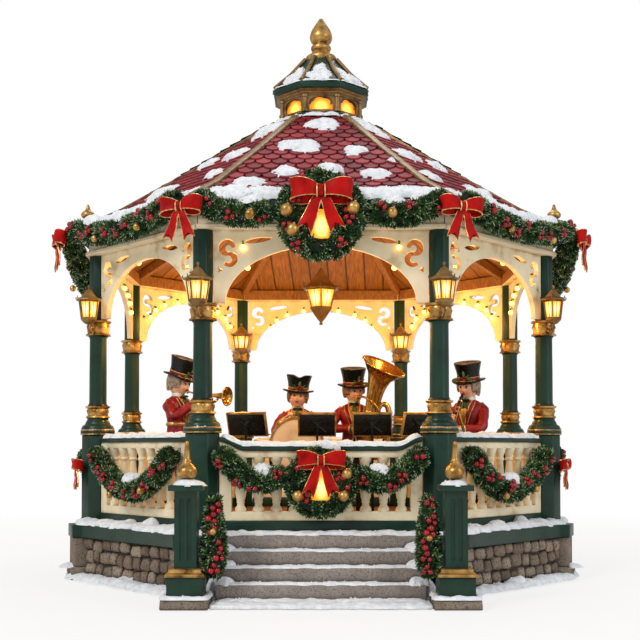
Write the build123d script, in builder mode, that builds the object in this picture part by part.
from build123d import *
import os
from math import acos, atan2, cos, degrees, pi, radians, sin

os.makedirs("parts", exist_ok=True)

# Miniature bandstand, in millimetres. X runs to the right, Y to the back and Z up.
# The origin is on the floor, on the axis of the eight columns.

# Plan of the columns: half the width of the front bay, and where its ends and the side bay's ends stand.
front_half = 41.5
front_depth = 93.0
side_half = 89.0
side_depth = 39.5

# Heights, from the floor up.
base_plate_height = 1.5
foot_height = 5.0
wall_top = 16.5
band_height = 5.0
pedestal_reveal = 1.2
cap_ring_height = 2.2
bell_height = 4.6
lower_collar_height = 4.8
shaft_height = 27.9
upper_collar_height = 6.0
post_height = 25.8
beam_height = 5.2
roof_rise = 51.0

# Plinth. Offsets are measured outwards from the lines between the column centres.
wall_out = 6.5
wall_thickness = 5.0
band_out = 9.0
band_in = 1.0
floor_thickness = 3.0
base_plate_out = 9.5
pier_out = 4.5
pier_size = 10.4
pier_foot_size = 12.6
band_block_size = 11.4

# Front steps and their newel posts.
step_half = 34.5
step_count = 4
step_run = 5.35
newel_gap = 1.1
newel_ahead = 3.95
newel_foot_size = 15.6
newel_foot_height = 3.4
newel_block_size = 11.6
newel_block_top = 10.2
newel_moulding_size = 12.8
newel_moulding_height = 2.6
newel_shaft_size = 7.2
newel_shaft_top = 37.6
newel_cap_size = 10.8
newel_cap_height = 1.8
newel_ball_radius = 3.3
newel_finial_height = 14.0
flute_depth = 0.5

# Columns.
pedestal_flats = 11.6
cap_ring_radius = 6.7
bell_foot_radius = 5.7
bell_neck_radius = 3.9
collar_radius = 4.5
shaft_radius = 3.4
upper_collar_radius = 4.8
post_flats = 6.8

# Balustrades.
sole_height = 4.5
sole_width = 5.0
bottom_rail_height = 3.0
rail_thickness = 4.0
baluster_pitch = 5.8
baluster_radius = 2.2
baluster_shaft_radius = 2.05
baluster_neck_radius = 1.3
baluster_height = 19.2
top_rail_height = 2.2
handrail_height = 1.7
handrail_width = 6.0
side_rail_rise = 3.2
stile_width = 4.2
rail_sweep = 9.0
bay_gap = 0.3

# Fretwork arches under the beam.
spandrel_thickness = 2.0
spandrel_foot_width = 4.2
arch_crown_drop = 5.4
scroll_width = 1.15
scroll_radius = 1.9
scroll_from_post = 5.2
scroll_below_beam = 8.2
leaf_from_post = 14.6
leaf_below_beam = 3.6
leaf_length = 4.6

# Ring beam, rafters and ceiling.
beam_half_width = 3.8
beam_ledge_height = 1.6
beam_ledge_out = 1.2
mitre_gap = 0.3
ceiling_drop = 13.0
ceiling_out = 1.0
ceiling_thickness = 2.0
ceiling_hole_share = 0.12
rafter_width = 3.0
rafter_depth = 4.0
boss_radius = 8.0
boss_height = 5.0

# Roof.
eave_out = 6.5
fascia_height = 5.0
fascia_thickness = 2.4
roof_thickness = 3.6
flare_share = 0.84
flare_drop = 2.0
curb_margin = 2.0
rib_width = 2.4
rib_height = 1.5
eave_finial_height = 6.5

# Cupola and its finial.
curb_flats = 38.0
curb_height = 2.2
sill_flats = 37.0
sill_height = 2.4
cupola_flats = 33.6
cupola_height = 7.4
cupola_wall = 2.0
cupola_window_width = 9.6
cupola_eave_flats = 40.6
cupola_eave_height = 4.2
cupola_soffit_height = 0.8
cupola_roof_height = 13.7
cupola_rib_width = 1.3
cupola_rib_height = 1.1
window_sill_height = 1.1
finial_height = 20.3
finial_foot_radius = 6.9
finial_ring_radius = 4.3
finial_bulb_radius = 4.8

# Lanterns.
lantern_out = 9.4
lantern_rise = 4.2
lantern_lean = 0.25
lantern_foot_height = 1.6
lantern_cup_radius = 3.2
lantern_roof_height = 6.4
lantern_arm_width = 1.6
lantern_arm_height = 1.8
lantern_bar = 0.45
lantern_sides = 6
lantern_glass_height = 7.2
lantern_glass_foot = 2.9
lantern_glass_head = 3.9
lantern_roof_radius = 5.1
hanging_glass_height = 8.3
hanging_glass_foot = 4.6
hanging_glass_head = 7.0
hanging_roof_radius = 8.4
hanging_below_beam = 22.9
hanging_foot_height = 7.3
hanging_cup_radius = 5.2
hanging_cap_height = 11.5
hanging_rod_radius = 0.7

# Greenery, bows and candles.
garland_radius = 4.3
garland_out = 11.2
garland_end_gap = 1.5
garland_below_eave = 1.0
garland_sag = 5.0
side_garland_sag = 16.0
swag_radius = 4.3
swag_below_pedestal = 7.5
swag_sag = 19.0
upper_wreath_radius = 11.8
upper_wreath_tube = 4.8
upper_wreath_below_eave = 7.5
lower_wreath_radius = 9.2
lower_wreath_tube = 3.6
lower_wreath_below_pedestal = 16.8
wreath_gap = 1.5
bow_thickness = 2.0
candle_radius = 2.5
candle_height = 8.0
wick_radius = 0.7
flame_height = 2.4
bow_size = 1.0
rail_bow_size = 0.85
upper_wreath_bow_size = 1.5
lower_wreath_bow_size = 1.1
drop_height = 28.0
drop_radius = 4.6

# Musicians, facing the front. Levels are a height and the radius there.
figure_height = 68.0
head_radius = 4.3
sleeve_radius = 1.9
leg_apart = 2.9
shoulder_out = 4.6
shoulder_height = 45.0
leg_levels = [(0, 2.8), (2.2, 2.4), (24, 2.8)]
coat_levels = [(15, 6.4), (29, 4.4), (43, 5.7), (47.5, 4.4), (50, 2.2), (53, 2.2)]
head_levels = [(50.6, 1.6), (52.4, 3.6), (54.8, head_radius), (57.4, 3.8)]
hat_levels = [(57.4, 5.6), (58.2, 5.6), (58.3, 4.1), (figure_height, 4.7)]
trumpet_points = [(0, -6, 51.8), (0, -18, 50.5), (0, -23, 50)]
trumpet_tube = 0.8
trumpet_bell = 3.4
valve_places = [(-1, -12, 49), (0.2, -13.4, 49), (1.2, -14.8, 49)]
valve_height = 5.0
clarinet_points = [(0, -5.6, 52), (0, -15, 34), (0, -16.5, 31)]
clarinet_tube = 0.9
clarinet_bell = 2.2
drum_radius = 11.3
drum_depth = 9.0
drum_place = (0, -6.8, 31.5)

# Sections of the tuba, from its bow up: the centre, the way it leans, half width and half depth.
tuba_sections = [
    ((8.4, -7.6, 28), (0, 0, 1), 3.6, 3.0),
    ((8.6, -7.8, 34), (0, 0, 1), 6.4, 3.8),
    ((9, -8, 44), (0.18, -0.2, 1), 5.2, 3.4),
    ((10.2, -9.4, 56), (0.18, -0.35, 1), 3.4, 3.35),
    ((11.2, -11.4, 62), (0.18, -0.5, 1), 9.3, 9.2),
]

# Music stands.
stand_height = 40.0
stand_foot_radius = 4.4
stand_foot_height = 0.9
stand_stem_radius = 0.75
desk_width = 17.0
desk_height = 9.6
desk_thickness = 1.2
desk_tilt = 0.3

touch_gap = 0.3
bays = 8
front_bay = 7
side_bays = (1, 5)
side_corners = (1, 2, 5, 6)
lantern_columns = (0, 1, 3, 4, 6, 7)

# Levels and places that follow from the sizes above.
deck_top = wall_top + band_height
panel_low = deck_top + sole_height
baluster_low = panel_low + bottom_rail_height
rail_low = baluster_low + baluster_height + top_rail_height
pedestal_top = rail_low + side_rail_rise + handrail_height + pedestal_reveal
bell_low = pedestal_top + cap_ring_height
lower_collar_low = bell_low + bell_height
shaft_low = lower_collar_low + lower_collar_height
upper_collar_low = shaft_low + shaft_height
post_low = upper_collar_low + upper_collar_height
beam_low = post_low + post_height
beam_top = beam_low + beam_height
eave_top = beam_top + fascia_height
roof_top = eave_top + roof_rise
roof_top_share = (curb_flats / 2 + curb_margin) / (side_half + eave_out)
ceiling_top = roof_top - ceiling_drop
sill_low = roof_top + curb_height
cupola_low = sill_low + sill_height
soffit_low = cupola_low + cupola_height
cupola_eave_low = soffit_low + cupola_soffit_height
cupola_eave_top = cupola_eave_low + cupola_eave_height
cupola_roof_top = cupola_eave_top + cupola_roof_height
overall_height = cupola_roof_top + finial_height
newel_x = step_half + newel_foot_size / 2 + newel_gap
newel_y = front_depth + band_out + (step_count - 1) * step_run + newel_ahead
lantern_base = upper_collar_low + lantern_rise
hanging_base = beam_low - hanging_below_beam
garland_level = eave_top - garland_below_eave
swag_level = pedestal_top - swag_below_pedestal
upper_wreath_level = eave_top - upper_wreath_below_eave
lower_wreath_level = pedestal_top - lower_wreath_below_pedestal
columns = [
    (front_half, -front_depth),
    (side_half, -side_depth),
    (side_half, side_depth),
    (front_half, front_depth),
    (-front_half, front_depth),
    (-side_half, side_depth),
    (-side_half, -side_depth),
    (-front_half, -front_depth),
]


# The bay starts at its own column and ends at the next, counter-clockwise from above.
def along(i):
    start, end = Vector(*columns[i]), Vector(*columns[(i + 1) % bays])
    return (end - start).normalized()


def outward(i):
    return Vector(along(i).Y, -along(i).X)


def bay_length(i):
    return (Vector(*columns[(i + 1) % bays]) - Vector(*columns[i])).length


# A corner of the plan, moved out so that both bays beside it move out by the same amount.
def corner(i, out):
    before, after = outward((i - 1) % bays), outward(i % bays)
    return Vector(*columns[i % bays]) + (before + after) * (out / (1 + before.dot(after)))


def bisector(i):
    return (outward((i - 1) % bays) + outward(i)).normalized()


def corner_angle(i):
    return degrees(atan2(bisector(i).Y, bisector(i).X))


# Half the angle by which the plan turns at a corner.
def half_turn(i):
    return acos(outward((i - 1) % bays).dot(outward(i % bays))) / 2


def middle_of(i):
    return (Vector(*columns[i]) + Vector(*columns[(i + 1) % bays])) / 2


# How far an octagon with flats square to the axes reaches along a bay.
def octagon_reach(flats, i):
    turn = degrees(atan2(along(i).Y, along(i).X)) % 45
    lean = radians(min(turn, 45 - turn))
    return flats / 2 / cos(pi / 8) * cos(pi / 8 - lean)


def plan(out, share=1.0):
    return [(corner(i, out).X * share, corner(i, out).Y * share) for i in range(bays)]


# The upright plane of a bay: local x along it, local y up and z outwards.
def bay_plane(i, out=0.0):
    return Plane(origin=middle_of(i) + outward(i) * out, x_dir=along(i), z_dir=outward(i))


# The upright plane through the axis and a direction: local x outwards and local y up.
def hip_plane(angle):
    x_dir = (cos(radians(angle)), sin(radians(angle)), 0)
    z_dir = (sin(radians(angle)), -cos(radians(angle)), 0)
    return Plane(origin=(0, 0, 0), x_dir=x_dir, z_dir=z_dir)


def save(name, piece):
    piece.part.label = name
    export_step(piece.part, f"parts/{name}.step")


# One mitred length of a ring that runs round the plan.
def bar_outline(i, inner, outer, share=1.0):
    shift = along(i) * (mitre_gap / 2)
    ends = [corner(i, inner), corner(i, outer), corner(i + 1, outer), corner(i + 1, inner)]
    signs = [1, 1, -1, -1]
    return [(end.X * share + shift.X * s, end.Y * share + shift.Y * s) for end, s in zip(ends, signs)]


def mitred_ring(inner, outer, low, high):
    with BuildPart() as ring:
        for i in range(bays):
            with BuildSketch(Plane.XY.offset(low)):
                Polygon(*bar_outline(i, inner, outer), align=None)
            extrude(amount=high - low)
    return ring


def at_columns(shape):
    with BuildPart() as group:
        with Locations(*columns):
            add(shape)
    return group


def octagon(flats, mode=Mode.ADD):
    return RegularPolygon(flats / 2, 8, major_radius=False, rotation=22.5, mode=mode)


# Plinth.
def pier_locations():
    return [Location((corner(i, pier_out).X, corner(i, pier_out).Y, 0), corner_angle(i)) for i in range(bays)]


def feet(name):
    with BuildPart() as stones:
        for place in pier_locations():
            with BuildSketch(Plane(place)):
                Rectangle(pier_foot_size, pier_foot_size)
            extrude(amount=foot_height, taper=3)
        for side in (-1, 1):
            with BuildSketch(Plane.XY):
                with Locations((side * newel_x, -newel_y)):
                    Rectangle(newel_foot_size, newel_foot_size)
            extrude(amount=newel_foot_height, taper=4)
    save(name, stones)
    return stones


def step_front(k):
    return front_depth + band_out + (step_count - 1 - k) * step_run


def base_plate(stones):
    with BuildPart() as plate:
        with BuildSketch():
            Polygon(*plan(base_plate_out), align=None)
            with Locations((0, -newel_y / 2)):
                Rectangle(2 * (newel_x + newel_foot_size * 0.4), newel_y + newel_foot_size * 0.8)
        extrude(amount=base_plate_height)
        add(stones.part, mode=Mode.SUBTRACT)
    save("snow_base", plate)


def stone_walls():
    with BuildPart() as walls:
        for i in range(bays):
            with BuildSketch(Plane.XY.offset(base_plate_height)):
                Polygon(*bar_outline(i, wall_out - wall_thickness, wall_out), align=None)
            extrude(amount=wall_top - base_plate_height)
        for place in pier_locations():
            with BuildSketch(Plane(place)):
                Rectangle(pier_foot_size + 2 * touch_gap, pier_foot_size + 2 * touch_gap)
            extrude(amount=wall_top, mode=Mode.SUBTRACT)
    save("stone_walls", walls)


def corner_piers():
    with BuildPart() as piers:
        for place in pier_locations():
            with BuildSketch(Plane(place).offset(foot_height)):
                Rectangle(pier_size, pier_size)
            extrude(amount=wall_top - foot_height)
        chamfer(piers.edges().filter_by(Axis.Z), length=0.6)
    save("corner_piers", piers)


def deck():
    with BuildPart() as band:
        with BuildSketch(Plane.XY.offset(wall_top)):
            Polygon(*plan(band_out), align=None)
            for i in range(bays):
                with Locations(Location((corner(i, pier_out).X, corner(i, pier_out).Y, 0), corner_angle(i))):
                    Rectangle(band_block_size, band_block_size)
            Polygon(*plan(band_in), align=None, mode=Mode.SUBTRACT)
        extrude(amount=deck_top - wall_top)
    save("deck_band", band)
    with BuildPart() as floor:
        with BuildSketch(Plane.XY.offset(deck_top - floor_thickness)):
            Polygon(*plan(band_in), align=None)
        extrude(amount=floor_thickness)
    save("deck_floor", floor)


def steps():
    rise = (deck_top - base_plate_height) / step_count
    back = front_depth + band_out + touch_gap
    with BuildPart() as flight:
        for k in range(step_count - 1):
            low = base_plate_height + k * rise
            depth = step_front(k) - back
            with BuildSketch(Plane.XY.offset(low)):
                with Locations((0, -back - depth / 2)):
                    Rectangle(2 * step_half, depth)
            extrude(amount=rise - (touch_gap / 10 if k < step_count - 2 else 0))
    save("steps", flight)


def newels():
    with BuildPart() as posts:
        for side in (-1, 1):
            place = (side * newel_x, -newel_y)
            with BuildSketch(Plane.XY.offset(newel_foot_height)):
                with Locations(place):
                    Rectangle(newel_block_size, newel_block_size)
            extrude(amount=newel_block_top - newel_foot_height)
            with BuildSketch(Plane.XY.offset(newel_block_top)):
                with Locations(place):
                    Rectangle(newel_shaft_size, newel_shaft_size)
            extrude(amount=newel_shaft_top - newel_block_top)
            with BuildSketch(Plane.XY.offset(newel_shaft_top)):
                with Locations(place):
                    Rectangle(newel_cap_size, newel_cap_size)
            extrude(amount=newel_cap_height)
            for face in (Plane.XZ, Plane.YZ):
                for way in (-1, 1):
                    extrude(flutes(place, face.z_dir * way), amount=-flute_depth, mode=Mode.SUBTRACT)
    save("newel_posts", posts)


# Two upright flutes in one face of a newel shaft.
def flutes(place, normal):
    middle = Vector(*place, (newel_block_top + newel_moulding_height + newel_shaft_top) / 2)
    origin = middle + normal * (newel_shaft_size / 2)
    height = newel_shaft_top - newel_block_top - newel_moulding_height - 5
    with BuildSketch(Plane(origin=origin, x_dir=normal.cross(Vector(0, 0, 1)), z_dir=normal)) as face:
        with Locations((-newel_shaft_size * 0.17, 0), (newel_shaft_size * 0.17, 0)):
            SlotOverall(height, newel_shaft_size * 0.18, rotation=90)
    return face.sketch


def newel_finial_outline():
    radius, foot = newel_ball_radius, newel_ball_radius * 0.75
    neck, shoulder = (foot * 0.8, 1.6), (radius * 0.45, 1.6 + 1.85 * radius)
    Polyline((0, 0), (foot, 0), (foot, 1.0), neck)
    ThreePointArc(neck, (radius, 1.6 + radius), shoulder)
    Polyline(shoulder, (radius * 0.2, newel_finial_height - 0.4), (0, newel_finial_height), (0, 0))


def newel_gilding():
    finial = turned(newel_finial_outline)
    with BuildPart() as gilding:
        for side in (-1, 1):
            place = (side * newel_x, -newel_y)
            with BuildSketch(Plane.XY.offset(newel_block_top)):
                with Locations(place):
                    Rectangle(newel_moulding_size, newel_moulding_size)
            extrude(amount=newel_moulding_height, taper=18)
            with BuildSketch(Plane.XY.offset(newel_block_top)):
                with Locations(place):
                    Rectangle(newel_shaft_size, newel_shaft_size)
            extrude(amount=newel_moulding_height, mode=Mode.SUBTRACT)
            with Locations((*place, newel_shaft_top + newel_cap_height)):
                add(finial)
    save("newel_gilding", gilding)


# Columns.
def pedestals():
    with BuildPart() as one:
        with BuildSketch(Plane.XY.offset(deck_top)):
            octagon(pedestal_flats)
        extrude(amount=pedestal_top - deck_top)
    save("column_pedestals", at_columns(one.part))


# A turned form from a closed outline in the XZ plane.
def turned(outline):
    with BuildPart() as one:
        with BuildSketch(Plane.XZ):
            with BuildLine():
                outline()
            make_face()
        revolve(axis=Axis.Z)
    return one.part


def ring_outline(low, height, radius):
    neck, lower, upper, high = bell_neck_radius, low + height * 0.3, low + height * 0.7, low + height
    Polyline((0, low), (neck, low), (radius, lower), (radius, upper), (neck, high), (0, high), (0, low))


def cap_outline():
    low, radius, high = pedestal_top, cap_ring_radius, bell_low
    shoulder = (radius, low + cap_ring_height * 0.7)
    Polyline((0, low), (radius * 0.9, low), (radius, low + cap_ring_height * 0.35))
    Polyline((radius, low + cap_ring_height * 0.35), shoulder, (radius * 0.93, high))
    Polyline((radius * 0.93, high), (0, high), (0, low))


def bell_outline():
    shoulder = (bell_foot_radius, bell_low + bell_height * 0.4)
    neck = (bell_neck_radius, lower_collar_low)
    Polyline((0, bell_low), (bell_foot_radius, bell_low), shoulder)
    Polyline(shoulder, (bell_neck_radius * 1.1, bell_low + bell_height * 0.75), neck)
    Polyline(neck, (0, lower_collar_low), (0, bell_low))


def columns_above():
    rings = [
        turned(cap_outline),
        turned(lambda: ring_outline(lower_collar_low, lower_collar_height, collar_radius)),
        turned(lambda: ring_outline(upper_collar_low, upper_collar_height, upper_collar_radius)),
    ]
    with BuildPart() as gilding:
        with Locations(*columns):
            for ring in rings:
                add(ring)
    save("column_gilding", gilding)
    save("column_bells", at_columns(turned(bell_outline)))
    with BuildPart() as shaft:
        with BuildSketch(Plane.XY.offset(shaft_low)):
            Circle(shaft_radius)
        extrude(amount=shaft_height)
    save("column_shafts", at_columns(shaft.part))
    with BuildPart() as post:
        with BuildSketch(Plane.XY.offset(post_low)):
            octagon(post_flats)
        extrude(amount=post_height)
    save("column_posts", at_columns(post.part))


# Balustrades.
def clear_half(i):
    return bay_length(i) / 2 - octagon_reach(pedestal_flats, i) - bay_gap


def rail_rise(i):
    return 0.0 if i == front_bay else side_rail_rise


# One edge of a rail: level, or swept up to its two ends on the front bay.
def rail_edge(i, level, half):
    if i != front_bay:
        Line((-half, level), (half, level))
        return
    flat, bend = half - rail_sweep, half - rail_sweep / 2
    Bezier((-half, level + side_rail_rise), (-bend, level + side_rail_rise), (-bend, level), (-flat, level))
    Line((-flat, level), (flat, level))
    Bezier((flat, level), (bend, level), (bend, level + side_rail_rise), (half, level + side_rail_rise))


# The cream top rail has a level underside, and the handrail on it keeps one thickness.
def top_rail_face(i, low, high, half):
    rise = side_rail_rise if i == front_bay else 0
    with BuildSketch(bay_plane(i)) as face:
        with BuildLine():
            rail_edge(i, high, half)
            Polyline((half, high + rise), (half, low), (-half, low), (-half, high + rise))
        make_face()
    return face.sketch


def handrail_face(i, low, high, half):
    rise = side_rail_rise if i == front_bay else 0
    with BuildSketch(bay_plane(i)) as face:
        with BuildLine():
            rail_edge(i, low, half)
            rail_edge(i, high, half)
            Line((-half, low + rise), (-half, high + rise))
            Line((half, low + rise), (half, high + rise))
        make_face()
    return face.sketch


def baluster(height):
    levels = [
        (0.0, baluster_neck_radius),
        (0.12, baluster_radius),
        (0.24, baluster_shaft_radius),
        (0.74, baluster_shaft_radius * 0.85),
        (0.80, baluster_radius * 0.95),
        (0.88, baluster_neck_radius * 0.9),
        (1.0, baluster_radius),
    ]
    with BuildPart() as one:
        for share, radius in levels:
            with BuildSketch(Plane.XY.offset(height * share)):
                RegularPolygon(radius, 6)
        loft(ruled=True)
    return one.part


def baluster_places(i, level):
    inner = 2 * (clear_half(i) - stile_width)
    count = int(inner / baluster_pitch)
    turn = degrees(atan2(along(i).Y, along(i).X))
    points = [bay_plane(i).origin + along(i) * ((k - (count - 1) / 2) * inner / count) for k in range(count)]
    return [Location((point.X, point.Y, level), turn) for point in points]


def balustrade(i, shape, top_low):
    half = clear_half(i)
    with BuildPart() as panel:
        with BuildSketch(bay_plane(i)):
            with Locations((0, panel_low)):
                Rectangle(2 * half, bottom_rail_height, align=(Align.CENTER, Align.MIN))
            with Locations((-half + stile_width / 2, panel_low), (half - stile_width / 2, panel_low)):
                Rectangle(stile_width, top_low + 1 - panel_low, align=(Align.CENTER, Align.MIN))
        extrude(amount=rail_thickness / 2, both=True)
        top_rail = top_rail_face(i, top_low, top_low + top_rail_height, half)
        extrude(top_rail, amount=rail_thickness / 2, both=True)
        with Locations(*baluster_places(i, baluster_low)):
            add(shape)
    return panel.part


def balustrades():
    shapes = {rise: baluster(baluster_height + rise) for rise in (0.0, side_rail_rise)}
    with BuildPart() as panels:
        for i in range(bays):
            rise = rail_rise(i)
            add(balustrade(i, shapes[rise], baluster_low + baluster_height + rise))
    save("balustrades", panels)


def handrails():
    with BuildPart() as rails:
        for i in range(bays):
            half, low = clear_half(i), rail_low + rail_rise(i)
            face = handrail_face(i, low, low + handrail_height, half)
            extrude(face, amount=handrail_width / 2, both=True)
    save("handrails", rails)


def soles():
    with BuildPart() as rails:
        for i in range(bays):
            with BuildSketch(bay_plane(i)):
                with Locations((0, deck_top)):
                    Rectangle(2 * clear_half(i), sole_height, align=(Align.CENTER, Align.MIN))
            extrude(amount=sole_width / 2, both=True)
    save("balustrade_soles", rails)


# Arches, beam and ceiling.
# The S-shaped scroll, triangle and leaf that pierce one bracket, measured from the post and the beam.
def bracket_cuts():
    with BuildSketch() as cuts:
        with BuildLine(mode=Mode.PRIVATE) as scroll:
            CenterArc((scroll_from_post, -scroll_below_beam + scroll_radius), scroll_radius, 30, 240)
            CenterArc((scroll_from_post, -scroll_below_beam - scroll_radius), scroll_radius, 90, -200)
        trace(scroll.edges(), scroll_width)
        with Locations((scroll_from_post * 0.45, -scroll_below_beam - 3 * scroll_radius)):
            RegularPolygon(scroll_width, 3)
        with Locations((leaf_from_post, -leaf_below_beam)):
            SlotOverall(leaf_length, scroll_width * 0.9, rotation=8)
    return cuts.sketch


def spandrels():
    low = post_low + touch_gap
    rise = beam_low - low - arch_crown_drop
    cuts = bracket_cuts()
    with BuildPart() as arches:
        for i in range(bays):
            half = bay_length(i) / 2 - octagon_reach(post_flats, i) - bay_gap
            with BuildSketch(bay_plane(i)):
                with Locations((0, low)):
                    Rectangle(2 * half, beam_low - low, align=(Align.CENTER, Align.MIN))
                    Ellipse(half - spandrel_foot_width, rise, mode=Mode.SUBTRACT)
                with Locations((-half, beam_low)):
                    add(cuts, mode=Mode.SUBTRACT)
                with Locations((half, beam_low)):
                    add(mirror(cuts, about=Plane.YZ, mode=Mode.PRIVATE), mode=Mode.SUBTRACT)
            extrude(amount=spandrel_thickness / 2, both=True)
    save("spandrels", arches)


def ring_beam():
    with BuildPart() as beam:
        for i in range(bays):
            with BuildSketch(Plane.XY.offset(beam_low)):
                Polygon(*bar_outline(i, -beam_half_width, beam_half_width + beam_ledge_out), align=None)
            extrude(amount=beam_ledge_height)
            with BuildSketch(Plane.XY.offset(beam_low + beam_ledge_height)):
                Polygon(*bar_outline(i, -beam_half_width, beam_half_width), align=None)
            extrude(amount=beam_height - beam_ledge_height)
    save("ring_beam", beam)


# Height of the roof's outer face at a share of the way out from the axis to the eave: straight
# from the top to the eave, and hollowed so that it flares near the eave.
def roof_level(share):
    straight = roof_top - (roof_top - eave_top) * (share - roof_top_share) / (1 - roof_top_share)
    if share < flare_share:
        return straight - flare_drop * (share - roof_top_share) / (flare_share - roof_top_share)
    return straight - flare_drop * (1 - share) / (1 - flare_share)


roof_shares = [1.0, flare_share, roof_top_share]


# One side of a roof: its section is drawn across the bay, and its ends are cut on the two hips.
def sloped_panel(i, line, thickness):
    reach = corner(i, eave_out).dot(outward(i))
    across = Plane(origin=(0, 0, 0), x_dir=outward(i), z_dir=outward(i).cross(Vector(0, 0, 1)))
    outer = [(reach * share, level) for share, level in line]
    inner = [(x - thickness, level) for x, level in reversed(outer)]
    shift = along(i) * (mitre_gap / 2)
    near, far = corner(i, eave_out) * 1.1 + shift, corner(i + 1, eave_out) * 1.1 - shift
    with BuildPart() as panel:
        with BuildSketch(across):
            Polygon(*outer, *inner, align=None)
        extrude(amount=bay_length(i), both=True)
        with BuildSketch():
            Polygon((shift.X, shift.Y), (near.X, near.Y), (far.X, far.Y), (-shift.X, -shift.Y), align=None)
        extrude(amount=overall_height, mode=Mode.INTERSECT)
    return panel.part


def roof_panels():
    line = [(share, roof_level(share)) for share in roof_shares]
    with BuildPart() as panels:
        for i in range(bays):
            add(sloped_panel(i, line, roof_thickness))
    save("roof_panels", panels)


def roof_form():
    with BuildPart() as form:
        for share in roof_shares:
            with BuildSketch(Plane.XY.offset(roof_level(share))):
                Polygon(*plan(eave_out, share), align=None)
        loft(ruled=True)
    return form.part


def hip_ribs():
    form = roof_form()
    with BuildPart() as ribs:
        for i in range(bays):
            reach = corner(i, eave_out)
            angle = degrees(atan2(reach.Y, reach.X))
            middle = [(reach.length * share, roof_level(share)) for share in roof_shares]
            upper = [(x, z + rib_height) for x, z in middle]
            lower = [(x, z - rib_height) for x, z in reversed(middle)]
            with BuildSketch(hip_plane(angle)):
                Polygon(*upper, *lower, align=None)
            extrude(amount=rib_width / 2, both=True)
        add(form, mode=Mode.SUBTRACT)
        with BuildSketch(Plane.XY.offset(eave_top)):
            Rectangle(4 * side_half, 4 * side_half)
        extrude(amount=-2 * rib_height, mode=Mode.SUBTRACT)
    save("hip_ribs", ribs)


def eave():
    save("eave_fascia", mitred_ring(eave_out - fascia_thickness, eave_out, beam_top, eave_top))


# A turned finial with its foot at height zero: foot, ball and pointed tip.
def finial_outline():
    radius = eave_finial_height / 2.9
    foot = (radius * 0.6, radius * 0.35)
    neck = (radius * 0.35, radius * 2.1)
    Polyline((0, 0), (radius * 0.8, 0), foot)
    ThreePointArc(foot, (radius, radius * 1.2), neck)
    Polyline(neck, (0, eave_finial_height), (0, 0))


def eave_finials():
    form = turned(finial_outline)
    with BuildPart() as finials:
        for i in side_corners:
            spot = corner(i, eave_out) * (1 - eave_finial_height * 0.4 / corner(i, eave_out).length)
            share = spot.length / corner(i, eave_out).length
            slope = (roof_level(flare_share) - eave_top) / (corner(i, eave_out).length * (1 - flare_share))
            seat = roof_level(share) + rib_height + slope * eave_finial_height * 0.28
            with Locations((spot.X, spot.Y, seat)):
                add(form)
    save("eave_finials", finials)


# The ceiling rises straight from the beam's top to the hole round its boss.
def ceiling_share():
    return (side_half + ceiling_out) / (side_half + eave_out)


def ceiling_level(share):
    rise = ceiling_top - beam_top
    return beam_top + rise * (ceiling_share() - share) / (ceiling_share() - ceiling_hole_share)


def ceiling():
    line = [(share, ceiling_level(share)) for share in (ceiling_share(), ceiling_hole_share)]
    with BuildPart() as boards:
        for i in range(bays):
            add(sloped_panel(i, line, ceiling_thickness))
    save("ceiling_boards", boards)


def rafters():
    below = ceiling_thickness * 0.7 + touch_gap
    with BuildPart() as timbers:
        for i in range(bays):
            reach = corner(i, eave_out)
            angle = degrees(atan2(reach.Y, reach.X))
            far = corner(i, -beam_half_width - rafter_width / 2).length / reach.length
            near = (boss_radius / cos(pi / 8) + touch_gap) / reach.length
            upper = [(reach.length * share, ceiling_level(share) - below) for share in (far, near)]
            lower = [(x, z - rafter_depth) for x, z in reversed(upper)]
            with BuildSketch(hip_plane(angle)):
                Polygon(*upper, *lower, align=None)
            extrude(amount=rafter_width / 2, both=True)
    save("rafters", timbers)
    boss_top = ceiling_level(boss_radius / (side_half + eave_out)) - below
    with BuildPart() as boss:
        with BuildSketch(Plane.XY.offset(boss_top)):
            octagon(2 * boss_radius)
        extrude(amount=-boss_height, taper=12)
    save("ceiling_boss", boss)
    return boss_top - boss_height


# Cupola.
def eight_sided(name, levels):
    with BuildPart() as piece:
        for level, flats in levels:
            with BuildSketch(Plane.XY.offset(level)):
                octagon(flats)
        loft(ruled=True)
    save(name, piece)
    return piece.part


def cupola_body():
    arch, sill, spring = cupola_window_width / 2, cupola_low + window_sill_height, cupola_height * 0.4
    with BuildPart() as body:
        with BuildSketch(Plane.XY.offset(cupola_low)):
            octagon(cupola_flats)
            octagon(cupola_flats - 2 * cupola_wall, mode=Mode.SUBTRACT)
        extrude(amount=cupola_height)
        for i in range(bays):
            normal = Vector(cos(pi / 4 * i), sin(pi / 4 * i), 0)
            face = Plane(origin=normal * (cupola_flats / 2), x_dir=(-normal.Y, normal.X, 0), z_dir=normal)
            with BuildSketch(face):
                with Locations((0, sill)):
                    Rectangle(2 * arch, spring, align=(Align.CENTER, Align.MIN))
                with Locations((0, sill + spring)):
                    Ellipse(arch, cupola_height * 0.36)
            extrude(amount=-cupola_wall, mode=Mode.SUBTRACT)
    save("cupola_body", body)
    with BuildPart() as glazing:
        with BuildSketch(Plane.XY.offset(cupola_low)):
            octagon(cupola_flats - 2 * cupola_wall - 2 * touch_gap)
        extrude(amount=cupola_height)
    save("cupola_glazing", glazing)


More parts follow.
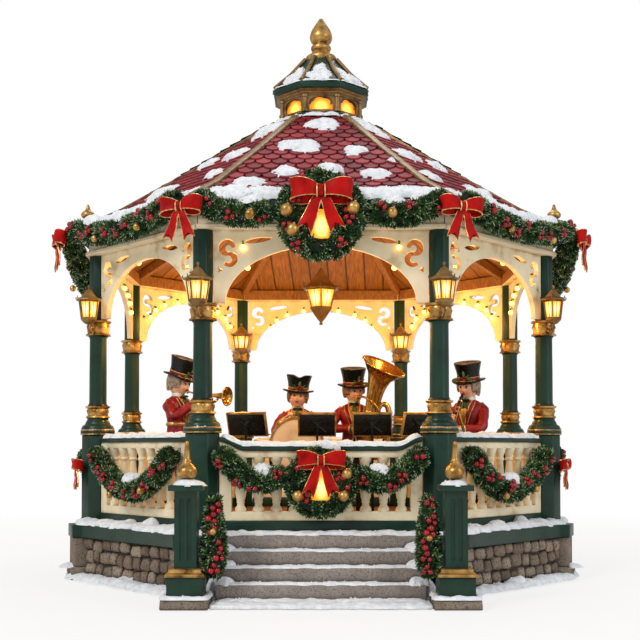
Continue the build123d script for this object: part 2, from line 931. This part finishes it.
def cupola():
    eight_sided("cupola_curb", [(roof_top, curb_flats + 1.5), (sill_low, curb_flats - 1.5)])
    sill_mid = sill_low + sill_height * 0.6
    eight_sided("cupola_sill", [(sill_low, sill_flats), (sill_mid, sill_flats), (cupola_low, sill_flats - 2)])
    cupola_body()
    eight_sided(
        "cupola_eave",
        [
            (soffit_low, cupola_flats + 1),
            (cupola_eave_low, cupola_eave_flats - 1),
            (cupola_eave_top, cupola_eave_flats),
        ],
    )
    wide, narrow = cupola_eave_flats - 1, 2 * finial_foot_radius
    sections = [(0.0, wide), (0.3, wide * 0.68), (0.65, wide * 0.41), (1.0, narrow)]
    levels = [(cupola_eave_top + cupola_roof_height * share, width) for share, width in sections]
    roof = eight_sided("cupola_roof", levels)
    with BuildPart() as ribs:
        for i in range(bays):
            upper = [(width / 2 / cos(pi / 8), level + cupola_rib_height) for level, width in levels]
            lower = [(x, z - 2 * cupola_rib_height) for x, z in reversed(upper)]
            with BuildSketch(hip_plane(22.5 + 45 * i)):
                Polygon(*upper, *lower, align=None)
            extrude(amount=cupola_rib_width / 2, both=True)
        add(roof, mode=Mode.SUBTRACT)
        with BuildSketch(Plane.XY.offset(cupola_eave_top)):
            Circle(cupola_eave_flats)
        extrude(amount=-3 * cupola_rib_height, mode=Mode.SUBTRACT)
        with BuildSketch(Plane.XY.offset(cupola_roof_top)):
            Circle(cupola_eave_flats)
        extrude(amount=3 * cupola_rib_height, mode=Mode.SUBTRACT)
    save("cupola_ribs", ribs)


# The gilt finial: a bell foot, a ring, a bulb and a drawn-out point.
def top_finial_outline():
    low, high, foot, bulb = cupola_roof_top, overall_height, finial_foot_radius, finial_bulb_radius
    neck = finial_ring_radius * 0.7
    ring, bulb_low = low + finial_height * 0.19, low + finial_height * 0.36
    rim, ring_top = low + finial_height * 0.05, ring + finial_height * 0.11
    shoulder = (bulb * 0.42, bulb_low + finial_height * 0.42)
    Polyline((0, low), (foot, low), (foot, rim))
    ThreePointArc((foot, rim), ((foot + neck) * 0.45, rim + finial_height * 0.06), (neck, ring))
    Polyline((neck, ring), (finial_ring_radius, ring), (finial_ring_radius, ring_top), (neck, ring_top))
    Line((neck, ring_top), (neck, bulb_low))
    ThreePointArc((neck, bulb_low), (bulb, bulb_low + finial_height * 0.2), shoulder)
    Polyline(shoulder, (bulb * 0.1, high - finial_height * 0.02), (0, high), (0, low))


def top_finial():
    with BuildPart() as finial:
        add(turned(top_finial_outline))
    save("top_finial", finial)


# Lanterns.
# A six-sided lantern on its own glass: cup and drop below, corner bars, flared roof and tip above.
def lantern(base, cup, glass_low, glass_height, foot, head, roof, tip):
    with BuildPart() as glass:
        for level, radius in ((glass_low, foot), (glass_low + glass_height, head)):
            with BuildSketch(Plane.XY.offset(level)):
                RegularPolygon(radius, lantern_sides, rotation=30)
        loft(ruled=True)
    glass_high = glass_low + glass_height
    with BuildPart() as frame:
        for level, radius in ((base, cup * 0.25), (glass_low - 0.8, cup * 0.8), (glass_low, cup)):
            with BuildSketch(Plane.XY.offset(level)):
                RegularPolygon(radius, lantern_sides, rotation=30)
        loft(ruled=True)
        for level, radius in ((glass_low, foot + lantern_bar), (glass_high, head + lantern_bar)):
            with BuildSketch(Plane.XY.offset(level)):
                RegularPolygon(radius, lantern_sides, rotation=30)
        loft(ruled=True)
        rise = tip - glass_high
        shares = ((0.0, roof), (0.12, roof), (0.55, roof * 0.45), (0.8, roof * 0.16), (1.0, roof * 0.1))
        for share, radius in shares:
            with BuildSketch(Plane.XY.offset(glass_high + rise * share)):
                RegularPolygon(radius, lantern_sides, rotation=30)
        loft(ruled=True)
        for k in range(lantern_sides):
            normal = Vector(cos(pi / 3 * k), sin(pi / 3 * k), 0)
            face = Plane(origin=normal * roof, x_dir=(-normal.Y, normal.X, 0), z_dir=normal)
            with BuildSketch(face):
                low_half, high_half = foot / 2 - lantern_bar, head / 2 - lantern_bar
                pane_low, pane_high = glass_low + lantern_bar, glass_high - lantern_bar
                foot_line = [(-low_half, pane_low), (low_half, pane_low)]
                head_line = [(high_half, pane_high), (-high_half, pane_high)]
                Polygon(*foot_line, *head_line, align=None)
            extrude(amount=-roof, mode=Mode.SUBTRACT)
        add(glass.part, mode=Mode.SUBTRACT)
    return frame.part, glass.part


# A lantern hangs in front of its column, turned a little away from the slanted bay beside it.
def lantern_spot(i):
    side = 1 if bisector(i).Y < 0 else -1
    way = (Vector(0, -1) + bisector(i) * lantern_lean * side).normalized()
    spot = Vector(*columns[i]) + way * lantern_out
    return Location((spot.X, spot.Y, 0), degrees(atan2(way.Y, way.X)))


def lanterns(boss_low):
    glass_low = lantern_base + lantern_foot_height
    tip = glass_low + lantern_glass_height + lantern_roof_height
    sizes = (lantern_glass_foot, lantern_glass_head, lantern_roof_radius)
    frame, glass = lantern(lantern_base, lantern_cup_radius, glass_low, lantern_glass_height, *sizes, tip)
    hang_low = hanging_base + hanging_foot_height
    hang_tip = hang_low + hanging_glass_height + hanging_cap_height
    hang_sizes = (hanging_glass_foot, hanging_glass_head, hanging_roof_radius)
    hang_frame, hang_glass = lantern(
        hanging_base, hanging_cup_radius, hang_low, hanging_glass_height, *hang_sizes, hang_tip
    )
    spots = [lantern_spot(i) for i in lantern_columns]
    arm_length = lantern_out - upper_collar_radius - touch_gap
    with BuildPart() as frames:
        with Locations(*spots):
            add(frame)
        with BuildSketch(Plane.XY.offset(lantern_base - lantern_arm_height)):
            with Locations(*spots):
                Rectangle(arm_length, lantern_arm_width, align=(Align.MAX, Align.CENTER))
        extrude(amount=lantern_arm_height + touch_gap)
        add(hang_frame)
        with BuildSketch(Plane.XY.offset(hang_tip - hanging_rod_radius)):
            Circle(hanging_rod_radius)
        extrude(amount=boss_low - hang_tip + hanging_rod_radius)
    save("lantern_frames", frames)
    with BuildPart() as glasses:
        with Locations(*spots):
            add(glass)
        add(hang_glass)
    save("lantern_glass", glasses)


# Greenery, bows and candles.
# A hanging garland from end to end of one stretch of a bay, lowest in the middle.
def swag(i, out, left, right, low, radius):
    middle = ((left[0] + right[0]) / 2, low)
    with BuildPart() as rope:
        with BuildLine(bay_plane(i, out)) as path:
            ThreePointArc(left, middle, right)
        start = path.edges()[0]
        with BuildSketch(Plane(origin=start @ 0, z_dir=start % 0)):
            RegularPolygon(radius, 6)
        sweep(path=path.edges())
    return rope.part


def upper_garlands():
    end = garland_radius + garland_end_gap
    high, dip = garland_level, garland_level - garland_sag
    with BuildPart() as greens:
        for i in range(bays):
            left = (corner(i, garland_out) - middle_of(i)).dot(along(i)) + end
            right = (corner(i + 1, garland_out) - middle_of(i)).dot(along(i)) - end
            if i == front_bay:
                near = upper_wreath_radius + upper_wreath_tube + wreath_gap
                add(swag(i, garland_out, (left, high), (-near, dip + 1), dip, garland_radius))
                add(swag(i, garland_out, (near, dip + 1), (right, high), dip, garland_radius))
            else:
                sag = side_garland_sag if i in side_bays else garland_sag
                add(swag(i, garland_out, (left, high), (right, high), high - sag, garland_radius))
    save("upper_garlands", greens)


def lower_garlands():
    out = rail_thickness / 2 + 2 * touch_gap + swag_radius * cos(pi / 6)
    with BuildPart() as greens:
        for i in range(bays):
            half = clear_half(i) - swag_radius
            if i == front_bay:
                near = lower_wreath_radius + lower_wreath_tube + wreath_gap
                low, high = lower_wreath_level - 4, swag_level - 5
                add(swag(i, out, (-half + 2, high), (-near, low + 1), low, swag_radius))
                add(swag(i, out, (near, low + 1), (half - 2, high), low, swag_radius))
            else:
                add(swag(i, out, (-half, swag_level), (half, swag_level), swag_level - swag_sag, swag_radius))
    save("lower_garlands", greens)


def newel_garlands():
    low = newel_block_top - 0.5
    x = newel_x - newel_shaft_size / 2 - drop_radius - 2.2
    with BuildPart() as greens:
        for side in (-1, 1):
            for share, radius in ((0.0, 0.45), (0.2, 1.0), (0.6, 0.9), (1.0, 0.3)):
                with BuildSketch(Plane.XY.offset(low + drop_height * share)):
                    with Locations((side * x, -newel_y - 1)):
                        RegularPolygon(drop_radius * radius, 6)
            loft()
    save("newel_garlands", greens)


def wreaths():
    upper_out = eave_out + 2 * touch_gap + upper_wreath_tube
    lower_out = handrail_width / 2 + touch_gap + lower_wreath_tube
    sizes = [
        (upper_out, upper_wreath_level, upper_wreath_radius, upper_wreath_tube),
        (lower_out, lower_wreath_level, lower_wreath_radius, lower_wreath_tube),
    ]
    with BuildPart() as greens:
        for out, level, radius, tube in sizes:
            y = -front_depth - out
            with BuildSketch(Plane.XY.offset(level)):
                with Locations((radius, y)):
                    RegularPolygon(tube, 8)
            revolve(axis=Axis((0, y, level), (0, 1, 0)))
    save("wreaths", greens)
    with BuildPart() as lights:
        for out, level, radius, tube in sizes:
            hole = radius - tube
            low = level - (hole**2 - candle_radius**2) ** 0.5 + 2 * touch_gap
            with BuildSketch(Plane(origin=(0, -front_depth - out, low))):
                Circle(candle_radius)
            extrude(amount=min(candle_height, 1.2 * hole))
            with BuildSketch(Plane(origin=(0, -front_depth - out, low + min(candle_height, 1.2 * hole)))):
                Circle(wick_radius)
            extrude(amount=flame_height, taper=12)
    save("candles", lights)
    return sizes


# The face of a ribbon bow: two loops, a knot and two forked tails.
def bow_face(plane, scale):
    with BuildSketch(plane) as face:
        with Locations(Location((-4.1 * scale, 0.4 * scale), 14), Location((4.1 * scale, 0.4 * scale), -14)):
            Ellipse(3.9 * scale, 2.7 * scale)
        Rectangle(3 * scale, 3.4 * scale)
        for side in (-1, 1):
            tail = [(0, 0.5), (2.2, 0), (6.2, -8.6), (3.9, -7.7), (2.6, -9.8), (0, -1)]
            Polygon(*[(side * x * scale, y * scale) for x, y in tail], align=None)
    return face.sketch


def bows(wreath_sizes):
    end = garland_radius + garland_end_gap
    lower = pedestal_flats / 2 / cos(pi / 8) + touch_gap
    with BuildPart() as ribbons:
        for i in range(bays):
            past = garland_radius * cos(pi / 8) + touch_gap - end * sin(half_turn(i))
            point = corner(i, garland_out) + bisector(i) * past
            side = Vector(-bisector(i).Y, bisector(i).X)
            plane = Plane(origin=(point.X, point.Y, garland_level - 3), x_dir=side, z_dir=bisector(i))
            extrude(bow_face(plane, bow_size), amount=bow_thickness)
        for i in side_corners:
            point = Vector(*columns[i]) + bisector(i) * lower
            side = Vector(-bisector(i).Y, bisector(i).X)
            plane = Plane(origin=(point.X, point.Y, swag_level - 4), x_dir=side, z_dir=bisector(i))
            extrude(bow_face(plane, rail_bow_size), amount=bow_thickness)
        scales = (upper_wreath_bow_size, lower_wreath_bow_size)
        for (out, level, radius, tube), scale in zip(wreath_sizes, scales):
            y = -front_depth - out - tube - touch_gap
            place = Plane(origin=(0, y, level + radius * 0.55), x_dir=(1, 0, 0), z_dir=(0, -1, 0))
            extrude(bow_face(place, scale), amount=bow_thickness)
    save("bows", ribbons)


# Musicians.
# A turned form through the given heights and radii.
def turned_form(levels, centre=(0, 0)):
    edge = [(radius, level) for level, radius in levels]
    with BuildPart() as form:
        with BuildSketch(Plane.XZ):
            with BuildLine():
                Polyline((0, levels[0][0]), *edge, (0, levels[-1][0]), close=True)
            make_face()
        revolve(axis=Axis.Z)
    return Location((*centre, 0)) * form.part


def limb(points, radius):
    with BuildPart() as form:
        with BuildLine() as path:
            Polyline(*points)
        first = path.edges()[0]
        with BuildSketch(Plane(origin=first @ 0, z_dir=first % 0)):
            RegularPolygon(radius, 6)
        sweep(path=path.wires()[0], transition=Transition.RIGHT)
    return form.part


# A standing figure facing the front: trousers, tailcoat, head, top hat, and arms to the hands given.
def figure(hands):
    with BuildPart() as body:
        for side in (-1, 1):
            add(turned_form(leg_levels, (side * leg_apart, 0)))
        for levels in (coat_levels, head_levels, hat_levels):
            add(turned_form(levels))
        for side, (elbow, hand) in zip((-1, 1), hands):
            add(limb([(side * shoulder_out, 0, shoulder_height), elbow, hand], sleeve_radius))
    return body.part


# A tube from the first point to the second, and a flared bell on to the third.
def horn(points, tube, bell_radius):
    start, low, high = points
    way = Vector(*high) - Vector(*low)
    with BuildPart() as form:
        add(limb([start, low], tube))
        with BuildSketch(Plane(origin=low, z_dir=way)):
            Circle(tube)
        with BuildSketch(Plane(origin=high, z_dir=way)):
            Circle(bell_radius)
        loft()
    return form.part


def trumpet():
    with BuildPart() as brass:
        add(horn(trumpet_points, trumpet_tube, trumpet_bell))
        with Locations(*valve_places):
            Cylinder(trumpet_tube, valve_height)
    return brass.part


def clarinet():
    return horn(clarinet_points, clarinet_tube, clarinet_bell)


def drum():
    with BuildPart() as shell:
        with BuildSketch(Plane(origin=drum_place, z_dir=(0, -1, 0))):
            Circle(drum_radius)
        extrude(amount=drum_depth)
    return shell.part


# The upright body of the tuba, widening from its bow to the waist and then to the bell.
def tuba():
    with BuildPart() as brass:
        for sections in (tuba_sections[:3], tuba_sections[2:]):
            for place, lean, wide, deep in sections:
                with BuildSketch(Plane(origin=place, z_dir=lean)):
                    Ellipse(wide, deep)
            loft(ruled=True)
    return brass.part


# Each player: name, instrument's name and maker, and the elbow and hand on each side. A place on the
# stage is in shares of the plan's half width and half depth, then the turn.
players = [
    ("trumpeter", "trumpet", trumpet, ((-8.5, -5, 40), (-1, -11, 48)), ((8.5, -5, 40), (1, -13, 48))),
    ("drummer", "bass_drum", drum, ((-9, -3, 38), (-6.5, -13, 43)), ((9, -3, 38), (6.5, -13, 43))),
    ("tuba_player", "tuba", tuba, ((-8.5, -6, 38), (3, -9.5, 36)), ((9.5, -1, 38), (9.5, -6, 40))),
    ("clarinettist", "clarinet", clarinet, ((-8, -6, 38), (-0.8, -12, 42)), ((8, -6, 38), (0.8, -14, 37))),
]
player_places = [(-0.64, -0.43, 62), (-0.112, -0.086, 0), (0.157, -0.129, 0), (0.663, -0.43, -38)]
stand_places = [(-0.315, -0.667, -22), (-0.017, -0.645, 4), (0.219, -0.656, -6), (0.41, -0.667, 16)]


def place_at(share_x, share_y, turn):
    return Location((share_x * side_half, share_y * front_depth, deck_top), turn)


def musicians():
    for (name, instrument, maker, left, right), place in zip(players, player_places):
        shape = maker()
        with BuildPart() as held:
            with Locations(place_at(*place)):
                add(shape)
        save(instrument, held)
        with BuildPart() as body:
            with Locations(place_at(*place)):
                add(figure((left, right)))
            add(held.part, mode=Mode.SUBTRACT)
        save(name, body)


# The desk leans its top edge towards the audience, with its sheet side to the player.
def music_stand():
    with BuildPart() as stand:
        with BuildSketch():
            RegularPolygon(stand_foot_radius, 3)
        extrude(amount=stand_foot_height)
        with BuildSketch():
            Circle(stand_stem_radius)
        extrude(amount=stand_height)
        desk = Plane(origin=(0, 0, stand_height), x_dir=(1, 0, 0), z_dir=(0, -1, -desk_tilt))
        with BuildSketch(desk.offset(-desk_thickness / 2)):
            Rectangle(desk_width, desk_height)
        extrude(amount=desk_thickness)
    return stand.part


def music_stands():
    shape = music_stand()
    with BuildPart() as stands:
        with Locations(*[place_at(*place) for place in stand_places]):
            add(shape)
    save("music_stands", stands)


def main():
    stones = feet("granite_feet")
    base_plate(stones)
    stone_walls()
    corner_piers()
    deck()
    steps()
    newels()
    newel_gilding()
    pedestals()
    columns_above()
    soles()
    balustrades()
    handrails()
    spandrels()
    ring_beam()
    ceiling()
    boss_low = rafters()
    eave()
    roof_panels()
    hip_ribs()
    eave_finials()
    cupola()
    top_finial()
    lanterns(boss_low)
    upper_garlands()
    lower_garlands()
    newel_garlands()
    bows(wreaths())
    musicians()
    music_stands()


main()
